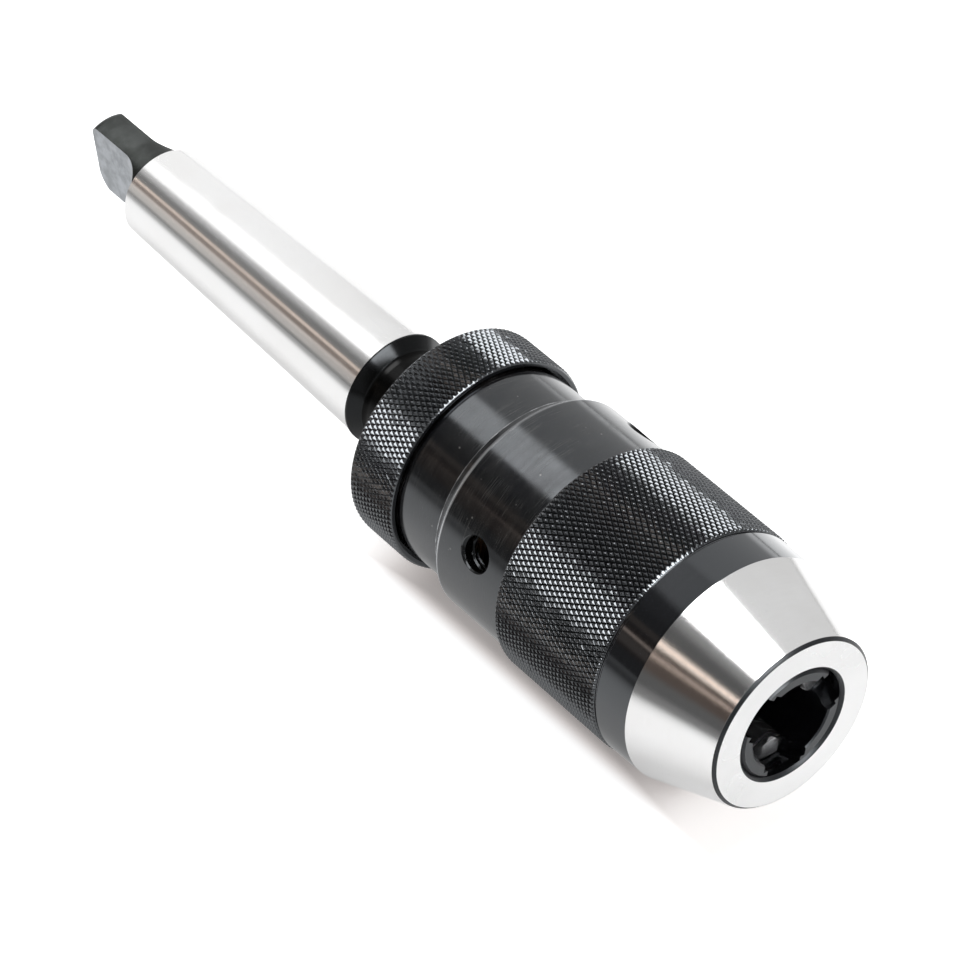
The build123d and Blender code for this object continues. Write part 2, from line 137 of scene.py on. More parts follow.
studio = {
    # turns in degrees about the axis, from the front (0) over the top (90) to the back (180); a strip's tones
    # are those at the tail, the middle and the nose, and each strip lies over the ones before it
    "strips": [
        {"name": "darkRoom", "turn": (-200, 67), "soft": 6, "tones": (0.20, 0.11, 0.10)},
        {"name": "warmHaze", "turn": (12, 33), "soft": 3, "tones": (0.22, 0.12, 0.085), "tint": (1, 0.80, 0.70)},
        {"name": "highHaze", "turn": (57, 80), "soft": 7, "tones": (0.55, 0.16, 0.30)},
        {"name": "lowCard", "turn": (5, 24), "soft": 4, "along": (-2, -0.63), "tones": (0.58,) * 3,
         "tint": (1, 0.96, 0.92)},
        {"name": "tailLamp", "turn": (19.5, 22.5), "soft": 1.2, "along": (-2, -0.63), "tones": (0.8,) * 3,
         "tint": (1, 0.9, 0.84)},
        {"name": "bandHaze", "turn": (15, 23), "soft": 2, "along": (-0.56, -0.46), "tones": (0.34,) * 3,
         "tint": (1, 0.85, 0.76)},
        {"name": "rimLamp", "turn": (24.4, 27.2), "soft": 0.6, "along": (-0.56, 2), "tones": (0.3, 1.5, 0.55),
         "tint": (1, 0.80, 0.68)},
        {"name": "stripLamp", "turn": (34.1, 39.3), "soft": 1.2, "tones": (0.95, 0.26, 1.2), "tint": (1, 0.84, 0.73)},
        {"name": "backWall", "turn": (104, 200), "soft": 3, "tones": (1.05, 0.94, 0.72)},
        {"name": "wallShade", "turn": (104, 176), "soft": 3, "along": (-0.63, -0.585), "fade": 0.015,
         "tones": (0.64,) * 3},
        {"name": "rearLamp", "turn": (173, 200), "soft": 4, "along": (-0.583, -0.44), "fade": 0.012,
         "tones": (2.0,) * 3},
        {"name": "softbox", "turn": (69, 102.5), "soft": 4, "tones": (1.2, 2.5, 10.0)},
        {"name": "boxCore", "turn": (69.6, 102.5), "soft": 4.8, "along": (-0.575, -0.50), "fade": 0.006,
         "tones": (4.8,) * 3},
        {"name": "boxFrame", "turn": (66, 106), "soft": 3, "along": (-0.553, -0.40), "fade": 0.008,
         "tones": (0.62,) * 3},
        {"name": "boxHem", "turn": (50, 69.5), "soft": 2.5, "along": (-0.60, -0.50), "tones": (0.16,) * 3},
        {"name": "tailShade", "turn": (60, 110), "soft": 5, "along": (-2, -0.76), "fade": 0.05, "tones": (0.35,) * 3},
        {"name": "noseShade", "turn": (-200, 200), "soft": 1, "along": (0.32, 2), "fade": 0.12, "tones": (0.42,) * 3},
        {"name": "edgeLamp", "turn": (68, 116), "soft": 2, "along": (0.67, 0.87), "tones": (14.0,) * 3},
    ],
    "tent": 1.0, "tailEnd": (-0.645, -0.605), "noseStart": (-0.42, -0.32), "matteTone": 0.55,
    # what a strip has where it names nothing of its own: the whole length, a soft end, white light
    "along": (-2, 2), "fade": 0.01, "tint": (1, 1, 1),
}


def makeLightStrip():
    # one lamp or card: where it lies, how soft its edges are and how bright it is along the spindle
    group, given, out = newGroup(
        "lightStrip",
        {"Below": "Color", "Turn": "Float", "Along": "Float", "From": "Float", "To": "Float", "Soft": "Float",
         "Start": "Float", "End": "Float", "Fade": "Float", "Tail": "Float", "Middle": "Float", "Nose": "Float",
         "Tint": "Color"},
        {"Light": "Color"})

    def edgeMask(value, place, soft):
        return rangeNode(group, value, mathNode(group, "SUBTRACT", place, soft), mathNode(group, "ADD", place, soft))

    def window(value, start, end, soft):
        return mathNode(group, "SUBTRACT", edgeMask(value, start, soft), edgeMask(value, end, soft))

    def blend(factor, first, second):
        return addNode(group, "Mix", {0: factor, 2: first, 3: second}, data_type="FLOAT").outputs[0]

    mask = mathNode(group, "MULTIPLY", window(given["Turn"], given["From"], given["To"], given["Soft"]),
                    window(given["Along"], given["Start"], given["End"], given["Fade"]))
    pastTail = rangeNode(group, given["Along"], *studio["tailEnd"])
    atNose = rangeNode(group, given["Along"], *studio["noseStart"])
    tone = blend(atNose, blend(pastTail, given["Tail"], given["Middle"]), given["Nose"])
    lamp = addNode(group, "VectorMath", {0: given["Tint"], "Scale": tone}, operation="SCALE")
    feed(group, mixColour(group, mask, given["Below"], lamp.outputs[0]), out["Light"])
    return group


def makeStudioLight():
    lightStrip = makeLightStrip()
    world = bpy.data.worlds.new("studioTent")
    world.use_nodes = True
    world.cycles.sampling_method = "NONE"
    tree = world.node_tree
    tree.nodes.clear()
    look = addNode(tree, "SeparateXYZ", {0: addNode(tree, "TexCoord").outputs["Generated"]}).outputs
    toFront = mathNode(tree, "MULTIPLY", look["Y"], -1.0)
    turn = mathNode(tree, "DEGREES", mathNode(tree, "ARCTAN2", look["Z"], toFront))
    light = (studio["tent"],) * 3 + (1,)
    for strip in studio["strips"]:
        strip = {**studio, **strip}
        tail, middle, nose = strip["tones"]
        node = placeGroup(tree, lightStrip, Below=light, Turn=turn, Along=look["X"], From=strip["turn"][0],
                          To=strip["turn"][1], Soft=strip["soft"], Start=strip["along"][0], End=strip["along"][1],
                          Fade=strip["fade"], Tail=tail, Middle=middle, Nose=nose, Tint=(*strip["tint"], 1))
        node.label = strip["name"]
        light = node.outputs["Light"]
    path = addNode(tree, "LightPath").outputs
    colour = mixColour(tree, path["Is Diffuse Ray"], light, (studio["matteTone"],) * 3)
    colour = mixColour(tree, path["Is Camera Ray"], colour, (1, 1, 1))
    glow = addNode(tree, "Background", {"Color": colour})
    addNode(tree, "OutputWorld", {"Surface": glow.outputs[0]})
    return world


scene.world = makeStudioLight()

# the white table top

table = {
    "size": 6, "gap": 0.00005, "tone": 0.80, "lift": 0.36, "near": 0.09, "far": 0.27, "farTones": (0.42, 0.2),
    "farPlaces": (-0.30, 0.0),
    # straight to the camera, with a painted contact shadow: near the chuck the glow is lowered and tinted brownish
    "eyeTone": 1.0, "eyeLift": 0.78, "paintedShadowLift": 0.17, "contact": (0.0138, 0.0190), "contactStart": (0.030, 0.004),
    "contactEnd": (0.085, 0.112), "noseShare": 0.60, "paintedShadowTint": (1.0, 0.87, 0.82),
    # a painted pool of lamp light: a bright lane glowing on the table behind the object, seen in reflections only
    "laneTilt": 0.55, "laneFoot": 0.15, "lane": (-0.13, 0.02, 0.05, 0.10), "laneStart": (0.04, 0.10), "laneGain": 1.25,
}


def makeTableWhite():
    material, tree = newTree("tableWhite")
    tree.nodes.clear()
    path = addNode(tree, "LightPath").outputs
    toEye, inGloss = path["Is Camera Ray"], path["Is Glossy Ray"]
    place = addNode(tree, "SeparateXYZ", {0: addNode(tree, "TexCoord").outputs["Object"]}).outputs
    # in reflections the table falls off into the dark room, sooner before the nose than before the tail
    away = rangeNode(tree, place["Y"], -table["near"], -table["far"])
    far = rangeNode(tree, place["X"], *table["farPlaces"], *table["farTones"])
    loss = mathNode(tree, "MULTIPLY", away, mathNode(tree, "SUBTRACT", 1.0, far))
    loss = mathNode(tree, "MULTIPLY", loss, inGloss)
    share = mathNode(tree, "SUBTRACT", 1.0, loss)
    across = mathNode(tree, "SUBTRACT", place["Y"], table["laneFoot"])
    across = mathNode(tree, "MULTIPLY_ADD", across, table["laneTilt"], place["X"])
    laneRear, laneRise, laneFall, laneEnd = table["lane"]
    lane = mathNode(tree, "MINIMUM", rangeNode(tree, across, laneRear, laneRise),
                    rangeNode(tree, across, laneEnd, laneFall))
    lane = mathNode(tree, "MULTIPLY", lane, rangeNode(tree, place["Y"], *table["laneStart"]))
    lane = mathNode(tree, "MULTIPLY", lane, inGloss)
    white = mathNode(tree, "MULTIPLY_ADD", toEye, table["eyeTone"] - table["tone"], table["tone"])
    tone = mathNode(tree, "MULTIPLY", share, white)
    colour = addNode(tree, "CombineColor", {0: tone, 1: tone, 2: tone})
    matte = addNode(tree, "BsdfDiffuse", {"Color": colour.outputs[0]})
    glowing = mathNode(tree, "MAXIMUM", path["Is Transmission Ray"], inGloss)
    glowing = mathNode(tree, "MULTIPLY", glowing, share)
    glowing = mathNode(tree, "MULTIPLY", glowing, table["lift"])
    # straight to the camera it is white almost up to the chuck, where the glow drops and turns brownish as a painted
    # contact shadow
    clear = rangeNode(tree, mathNode(tree, "ABSOLUTE", place["Y"]), *table["contact"])
    rear = rangeNode(tree, place["X"], *table["contactStart"])
    nose = rangeNode(tree, place["X"], *table["contactEnd"], 0.0, table["noseShare"])
    clear = mathNode(tree, "MAXIMUM", clear, mathNode(tree, "MAXIMUM", rear, nose))
    shadow = mathNode(tree, "MULTIPLY", mathNode(tree, "SUBTRACT", 1.0, clear), toEye)
    seen = mathNode(tree, "MULTIPLY_ADD", clear, table["eyeLift"] - table["paintedShadowLift"], table["paintedShadowLift"])
    glowing = mathNode(tree, "MULTIPLY_ADD", toEye, seen, glowing)
    glow = addNode(tree, "Emission", {"Color": mixColour(tree, shadow, (1.0, 1.0, 1.0), table["paintedShadowTint"]),
                                      "Strength": mathNode(tree, "MULTIPLY_ADD", lane, table["laneGain"], glowing)})
    both = addNode(tree, "AddShader", {0: matte.outputs[0], 1: glow.outputs[0]})
    addNode(tree, "OutputMaterial", {"Surface": both.outputs[0]})
    return material


bpy.ops.mesh.primitive_plane_add(size=table["size"], location=(0, 0, cadBox[0][2] - table["gap"]))
floor = bpy.context.object
floor.name = "whiteTable"
floor.data.materials.append(makeTableWhite())

# one broad soft lamp over the object casts a soft shadow, which the table's painted contact shadow deepens
keyLamp = {"place": (-0.15, 0.55, 1.3), "size": 0.9, "power": 9.0}
bpy.ops.object.light_add(type="AREA", location=keyLamp["place"])
lamp = bpy.context.object
lamp.name = "softLamp"
lamp.data.shape = "SQUARE"
lamp.data.size = keyLamp["size"]
lamp.data.energy = keyLamp["power"]
lamp.rotation_euler = (-Vector(keyLamp["place"])).to_track_quat("-Z", "Y").to_euler()
lamp.visible_glossy = False
print("studio set")


# shader groups shared by the finishes

toolMarks = {"fineDetail": 3.0, "wide": 0.13, "wideDetail": 2.0, "wideShare": 0.6, "laneStretch": (90, 1500, 1500),
             "patch": 150.0, "sharp": (0.50, 0.66), "shown": (0.38, 0.62)}


def makeRingMarks():
    # fine marks left round the axis by turning or grinding
    group, given, out = newGroup(
        "ringMarks",
        {"Vector": "Vector", "Spacing": "Float", "Drift": "Float"},
        {"Height": "Float", "Tone": "Float", "Lanes": "Float", "Scuffs": "Float"})
    scale = addNode(group, "CombineXYZ", {0: given["Spacing"], 1: given["Drift"], 2: given["Drift"]})
    stretched = stretchedBy(group, given["Vector"], scale.outputs[0])
    fine = noiseNode(group, stretched, 1.0, toolMarks["fineDetail"])
    wide = noiseNode(group, stretched, toolMarks["wide"], toolMarks["wideDetail"])
    along = stretchedBy(group, given["Vector"], toolMarks["laneStretch"])
    # scuffs are the sharpest marks, where slow patches let them show
    sharp = rangeNode(group, fine, *toolMarks["sharp"])
    patch = noiseNode(group, given["Vector"], toolMarks["patch"], toolMarks["fineDetail"])
    shown = rangeNode(group, patch, *toolMarks["shown"])
    fineShare = mathNode(group, "MULTIPLY", fine, 1 - toolMarks["wideShare"])
    feed(group, fine, out["Height"])
    feed(group, mathNode(group, "MULTIPLY_ADD", wide, toolMarks["wideShare"], fineShare), out["Tone"])
    feed(group, noiseNode(group, along, 1.0, toolMarks["fineDetail"]), out["Lanes"])
    feed(group, mathNode(group, "MULTIPLY", sharp, shown), out["Scuffs"])
    return group


handling = {"grainDetail": 2.0, "cloudDetail": 4.0, "speckSpread": 0.22, "speckSize": (0.16, 0.05),
            "speckClouds": (0.56, 0.66)}


def makeGrain():
    # tiny pits and specks, and slow clouds from handling
    group, given, out = newGroup(
        "handledGrain",
        {"Vector": "Vector", "Scale": "Float", "Cloud": "Float"},
        {"Grain": "Float", "Clouds": "Float", "Specks": "Float"})
    clouds = noiseNode(group, given["Vector"], given["Cloud"], handling["cloudDetail"])
    spread = mathNode(group, "MULTIPLY", given["Scale"], handling["speckSpread"])
    cells = addNode(group, "TexVoronoi", {"Vector": given["Vector"], "Scale": spread})
    dots = rangeNode(group, cells.outputs["Distance"], *handling["speckSize"])
    rare = rangeNode(group, clouds, *handling["speckClouds"])
    feed(group, noiseNode(group, given["Vector"], given["Scale"], handling["grainDetail"]), out["Grain"])
    feed(group, clouds, out["Clouds"])
    feed(group, mathNode(group, "MULTIPLY", dots, rare), out["Specks"])
    return group


edgeWearShaded = {"breaks": 420.0, "detail": 3.0, "bare": (0.60, 0.38), "sides": (0.019, 0.008)}


def makeEdgeWearShaded():
    # a thin worn line round the axis where a corner lies, broken up here and there and thinned at the top and bottom
    # as painted shade
    group, given, out = newGroup(
        "wornRimShaded",
        {"Vector": "Vector", "Place": "Float", "Width": "Float", "Gaps": "Float", "Side": "Float"},
        {"Mask": "Float"})
    place = addNode(group, "SeparateXYZ", {0: given["Vector"]}).outputs
    off = mathNode(group, "ABSOLUTE", mathNode(group, "SUBTRACT", place["X"], given["Place"]))
    near = mathNode(group, "SUBTRACT", 1.0, mathNode(group, "DIVIDE", off, given["Width"]), clamp=True)
    breaks = noiseNode(group, given["Vector"], edgeWearShaded["breaks"], edgeWearShaded["detail"])
    bare = mathNode(group, "MULTIPLY", rangeNode(group, breaks, *edgeWearShaded["bare"]), given["Gaps"])
    worn = mathNode(group, "MULTIPLY", near, mathNode(group, "SUBTRACT", 1.0, bare))
    # near the top and bottom the line is thinned, as painted shade where the edge lies dark
    topShade = rangeNode(group, mathNode(group, "ABSOLUTE", place["Y"]), *edgeWearShaded["sides"])
    topShade = mathNode(group, "MULTIPLY", topShade, given["Side"])
    feed(group, mathNode(group, "MULTIPLY", worn, mathNode(group, "SUBTRACT", 1.0, topShade)), out["Mask"])
    return group


ringMarks = makeRingMarks()
handledGrain = makeGrain()
wornRimShaded = makeEdgeWearShaded()


# finishes: each one names only what departs from plainLook

plainLook = {
    "metallic": 0.0, "ior": 1.5, "sheen": (1, 1, 1), "spacing": 9000.0, "drift": 60.0, "grain": 2500.0, "cloud": 45.0,
    "markTone": 0.5, "toneRange": (0.36, 0.64), "cloudRange": (0.35, 0.65), "markBump": 1.0, "grainBump": 0.5,
    "laneBump": 0.0, "bump": 0.2, "depth": 0.00002, "specks": 0.0, "bareSpecks": False, "scuffs": 0.0, "rims": (),
}


def finish(name, own):
    # a base tone and a second one in the clouds and marks, a roughness range, bump, specks, scuffs and worn rims,
    # which are thinned at the top as painted shade
    look = {**plainLook, **own}
    material, tree = newTree(name)
    shader = tree.nodes["Principled BSDF"]
    shader.inputs["Metallic"].default_value = look["metallic"]
    shader.inputs["IOR"].default_value = look["ior"]
    shader.inputs["Specular Tint"].default_value = (*look["sheen"], 1)
    here = addNode(tree, "TexCoord").outputs["Object"]
    marks = placeGroup(tree, ringMarks, Vector=here, Spacing=look["spacing"], Drift=look["drift"]).outputs
    grain = placeGroup(tree, handledGrain, Vector=here, Scale=look["grain"], Cloud=look["cloud"]).outputs
    tone = rangeNode(tree, marks["Tone"], *look["toneRange"])
    cloudy = mathNode(tree, "MULTIPLY", rangeNode(tree, grain["Clouds"], *look["cloudRange"]), 1 - look["markTone"])
    both = mathNode(tree, "MULTIPLY_ADD", tone, look["markTone"], cloudy)
    low, high = look["rough"]
    colour = mixColour(tree, both, look["dark"], look["light"])
    bare = []
    if look["specks"]:
        specks = mathNode(tree, "MULTIPLY", grain["Specks"], look["specks"])
        colour = mixColour(tree, specks, colour, look["speckColour"])
        if look["bareSpecks"]:
            bare.append(specks)
    if look["scuffs"]:
        bare.append(mathNode(tree, "MULTIPLY", marks["Scuffs"], look["scuffs"]))
        colour = mixColour(tree, bare[-1], colour, look["scuffColour"])
    for place, width, gaps, side in look["rims"]:
        rim = placeGroup(tree, wornRimShaded, Vector=here, Place=place, Width=width, Gaps=gaps, Side=side)
        bare.append(rim.outputs["Mask"])
        colour = mixColour(tree, bare[-1], colour, look["rimColour"])
    # bare steel shows wherever the black is gone
    while len(bare) > 1:
        bare[:2] = [mathNode(tree, "MAXIMUM", *bare[:2])]
    for metal in bare:
        feed(tree, metal, shader.inputs["Metallic"])
    feed(tree, colour, shader.inputs["Base Color"])
    feed(tree, mathNode(tree, "MULTIPLY_ADD", both, high - low, low), shader.inputs["Roughness"])
    height = mathNode(tree, "MULTIPLY", marks["Height"], look["markBump"])
    height = mathNode(tree, "MULTIPLY_ADD", grain["Grain"], look["grainBump"], height)
    height = mathNode(tree, "MULTIPLY_ADD", marks["Lanes"], look["laneBump"], height)
    bump = addNode(tree, "Bump", {"Strength": look["bump"], "Distance": look["depth"], "Height": height})
    feed(tree, bump.outputs["Normal"], shader.inputs["Normal"])
    return material


# ground and milled steel
groundSteel = finish("groundSteel", {
    "dark": (0.84, 0.835, 0.83), "light": (0.88, 0.88, 0.88), "metallic": 1.0, "rough": (0.13, 0.19), "markTone": 0.3,
    "spacing": 16000.0, "drift": 90.0, "grain": 5200.0, "cloud": 60.0, "markBump": 0.6, "grainBump": 0.6,
    "bump": 0.14, "depth": 0.00001, "specks": 0.4, "speckColour": (0.5, 0.49, 0.48)})
milledTang = finish("milledTang", {
    "dark": (0.22, 0.235, 0.25), "light": (0.44, 0.46, 0.49), "metallic": 1.0, "rough": (0.28, 0.44), "markTone": 0.35,
    "spacing": 2600.0, "drift": 900.0, "grain": 3000.0, "cloud": 420.0, "grainBump": 1.0, "bump": 0.3,
    "depth": 0.00003})
turnedTang = finish("turnedTang", {
    "dark": (0.045, 0.048, 0.046), "light": (0.075, 0.080, 0.078), "metallic": 1.0, "rough": (0.30, 0.42),
    "markTone": 0.1, "spacing": 5000.0, "grain": 3000.0, "cloud": 160.0, "markBump": 0.2})
groundCone = finish("groundCone", {
    "dark": (0.83, 0.825, 0.82), "light": (0.88, 0.88, 0.88), "metallic": 1.0, "rough": (0.06, 0.10), "markTone": 0.2,
    "spacing": 12000.0, "drift": 1800.0, "grain": 6500.0, "cloud": 60.0, "markBump": 0.1, "grainBump": 2.0,
    "laneBump": 0.12, "bump": 0.34, "depth": 0.000012, "specks": 0.6, "speckColour": (0.36, 0.35, 0.34)})
groundFace = finish("groundFace", {
    "dark": (0.80, 0.80, 0.80), "light": (0.88, 0.88, 0.88), "metallic": 1.0, "rough": (0.24, 0.34),
    "grain": 5000.0, "grainBump": 1.0, "depth": 0.00001})
jawSteel = finish("jawSteel", {
    "dark": (0.20, 0.20, 0.205), "light": (0.46, 0.46, 0.47), "metallic": 0.9, "rough": (0.16, 0.28),
    "grain": 3000.0, "markBump": 0.0, "depth": 0.00003})

# black oxide, from the shiny rim to the darker, duller foot of the knurl, which is painted shade
blueSheen = (0.90, 0.95, 1.0)
glossBlack = finish("glossBlack", {
    "dark": (0.003, 0.003, 0.004), "light": (0.006, 0.006, 0.007), "rough": (0.07, 0.13), "ior": 1.8,
    "sheen": blueSheen, "spacing": 5000.0, "grainBump": 0.4, "markBump": 0.4, "bump": 0.08})
satinBlack = finish("satinBlack", {
    "dark": (0.002, 0.002, 0.003), "light": (0.004, 0.0035, 0.003), "rough": (0.10, 0.18), "ior": 1.74,
    "sheen": blueSheen, "spacing": 7000.0, "drift": 160.0, "markTone": 0.55, "cloud": 260.0, "markBump": 0.25,
    "grainBump": 0.25, "bump": 0.14, "specks": 0.45, "speckColour": (0.42, 0.41, 0.40), "bareSpecks": True,
    "scuffs": 0.18, "scuffColour": (0.24, 0.235, 0.23), "rimColour": (0.66, 0.66, 0.67),
    # place and half width in m, how much is missing in the gaps, and how much is taken off along the top as painted
    # shade
    "rims": [(0.0412, 0.00018, 0.8, 0.3), (0.0436, 0.00045, 0.3, 0.3), (0.0440, 0.0004, 0.1, 0.75)]})
blackKnurl = finish("blackKnurl", {
    "dark": (0.002, 0.002, 0.003), "light": (0.006, 0.006, 0.007), "rough": (0.08, 0.15), "ior": 1.9,
    "sheen": blueSheen, "markBump": 0.2, "bump": 0.10})
# painted shade for the valleys between the knurl's diamonds: a darker and duller black
valleyShade = finish("valleyShade", {
    "dark": (0.001, 0.001, 0.001), "light": (0.003, 0.003, 0.003), "rough": (0.16, 0.26), "ior": 1.6,
    "sheen": blueSheen, "markBump": 0.2, "bump": 0.10})
neckBlack = finish("neckBlack", {
    "dark": (0.002, 0.002, 0.002), "light": (0.004, 0.004, 0.004), "rough": (0.12, 0.18), "ior": 1.33,
    "sheen": blueSheen, "spacing": 6000.0, "drift": 120.0, "markBump": 0.5, "grainBump": 0.4, "bump": 0.12})
neckShade = finish("neckShade", {
    "dark": (0.001, 0.001, 0.001), "light": (0.002, 0.002, 0.002), "rough": (0.16, 0.24), "ior": 1.18,
    "spacing": 6000.0, "drift": 120.0, "markBump": 0.5, "grainBump": 0.4, "bump": 0.12})
rimBlack = finish("rimBlack", {
    "dark": (0.003, 0.003, 0.004), "light": (0.006, 0.006, 0.007), "rough": (0.30, 0.42), "sheen": blueSheen,
    "markBump": 0.4, "bump": 0.12})
blackBand = finish("blackBand", {
    "dark": (0.002, 0.002, 0.003), "light": (0.004, 0.004, 0.005), "rough": (0.07, 0.12), "ior": 1.82,
    "sheen": blueSheen, "spacing": 8000.0, "markBump": 0.4, "grainBump": 0.3, "bump": 0.08})
guideBlack = finish("guideBlack", {
    "dark": (0.002, 0.002, 0.003), "light": (0.004, 0.004, 0.005), "rough": (0.12, 0.20), "ior": 1.62,
    "sheen": blueSheen, "markBump": 0.0, "grainBump": 0.4, "bump": 0.1})
# painted shade for the walls of the tapped holes: a darker, duller black
holeShade = finish("holeShade", {
    "dark": (0.002, 0.002, 0.002), "light": (0.004, 0.004, 0.004), "rough": (0.14, 0.24), "ior": 1.34,
    "sheen": blueSheen, "markBump": 0.0})

# pieces inside
springSteel = finish("springSteel", {
    "dark": (0.03, 0.03, 0.032), "light": (0.07, 0.07, 0.072), "metallic": 0.5, "rough": (0.3, 0.45)})
brightSteel = finish("brightSteel", {
    "dark": (0.45, 0.45, 0.45), "light": (0.65, 0.65, 0.65), "metallic": 1.0, "rough": (0.2, 0.35)})
bearingSteel = finish("bearingSteel", {
    "dark": (0.62, 0.62, 0.63), "light": (0.75, 0.75, 0.76), "metallic": 1.0, "rough": (0.08, 0.16)})
stampedBrass = finish("stampedBrass", {
    "dark": (0.45, 0.30, 0.10), "light": (0.70, 0.52, 0.22), "metallic": 1.0, "rough": (0.2, 0.36)})
castBronze = finish("castBronze", {
    "dark": (0.38, 0.22, 0.11), "light": (0.56, 0.36, 0.20), "metallic": 1.0, "rough": (0.25, 0.42)})
sealRubber = finish("sealRubber", {
    "dark": (0.012, 0.012, 0.012), "light": (0.03, 0.03, 0.03), "rough": (0.45, 0.7), "bump": 0.3})
print("finishes mixed")


# how pieces are made: drawn as one profile and spun, then cut, bevelled and dressed

mm = 0.001
making = {"spinSteps": 256, "merge": 0.001, "hair": 0.0001, "bevel": 0.06, "bevelSegments": 2, "faceWeight": 100,
          # an end of the knurl is turned down into the core, which lies under the foot of the diamonds
          "coreBelow": 0.04, "tuck": 0.3, "chamferCuts": (0.2, 0.4, 0.6, 0.8, 1)}


def deselectAll():
    bpy.ops.object.select_all(action="DESELECT")


def only(obj):
    deselectAll()
    bpy.context.view_layer.objects.active = obj
    obj.select_set(True)


def edit(obj, choose=True):
    only(obj)
    bpy.ops.object.mode_set(mode="EDIT")
    bpy.ops.mesh.select_all(action="SELECT" if choose else "DESELECT")


def leave():
    bpy.ops.object.mode_set(mode="OBJECT")


def mergeAll():
    bpy.ops.mesh.select_all(action="SELECT")
    bpy.ops.mesh.remove_doubles(threshold=making["merge"] * mm)


def turnOutwards():
    bpy.ops.mesh.select_all(action="SELECT")
    bpy.ops.mesh.normals_make_consistent(inside=False)


def radiusOf(point):
    return math.hypot(point.y, point.z)


def turnedPiece(name, profile):
    # profile in mm: places along the spindle and radii, drawn point by point and closed
    deselectAll()
    bpy.ops.mesh.primitive_plane_add(size=mm, location=(0, 0, 0))
    obj = bpy.context.object
    obj.name = obj.data.name = name
    edit(obj)
    bpy.ops.mesh.merge(type="CENTER")
    x0, r0 = profile[0]
    bpy.ops.transform.translate(value=(x0 * mm, r0 * mm, 0))
    for x1, r1 in profile[1:] + profile[:1]:
        bpy.ops.mesh.extrude_vertices_move(TRANSFORM_OT_translate={"value": ((x1 - x0) * mm, (r1 - r0) * mm, 0)})
        x0, r0 = x1, r1
    mergeAll()
    bpy.ops.mesh.spin(steps=making["spinSteps"], angle=2 * math.pi, center=(0, 0, 0), axis=(1, 0, 0))
    mergeAll()
    turnOutwards()
    leave()
    return obj


def bevelled(obj, degrees, width=making["bevel"]):
    only(obj)
    bevel = obj.modifiers.new("softEdges", "BEVEL")
    bevel.width = width * mm
    bevel.segments = making["bevelSegments"]
    bevel.limit_method = "ANGLE"
    bevel.angle_limit = math.radians(degrees)
    bpy.ops.object.modifier_apply(modifier=bevel.name)


def smooth(obj, degrees, weighted=True):
    # long faces keep their own normals, so only the small bevels beside them turn
    only(obj)
    bpy.ops.object.shade_smooth_by_angle(angle=math.radians(degrees))
    if weighted:
        weigh = obj.modifiers.new("trueNormals", "WEIGHTED_NORMAL")
        weigh.weight = making["faceWeight"]
        weigh.keep_sharp = True
        bpy.ops.object.modifier_apply(modifier=weigh.name)


def cutAway(obj, cutter, name, materials="INDEX"):
    only(obj)
    cut = obj.modifiers.new(name, "BOOLEAN")
    cut.operation = "DIFFERENCE"
    cut.object = cutter
    cut.solver = "EXACT"
    cut.material_mode = materials
    bpy.ops.object.modifier_apply(modifier=cut.name)
    bpy.data.objects.remove(cutter)


def joined(first, other):
    only(other)
    first.select_set(True)
    bpy.context.view_layer.objects.active = first
    bpy.ops.object.join()
    return first


def giveZones(obj, zones):
    # a finish for each stretch of a piece; the first whose test holds is taken
    obj.data.materials.clear()
    for material, _ in zones:
        obj.data.materials.append(material)
    for face in obj.data.polygons:
        place, radius = face.center.x / mm, radiusOf(face.center) / mm
        for slot, (_, test) in enumerate(zones):
            if test(place, radius, face):
                face.material_index = slot
                break


def knurlFoot(knurl):
    return knurl["radius"] - knurl["depth"]


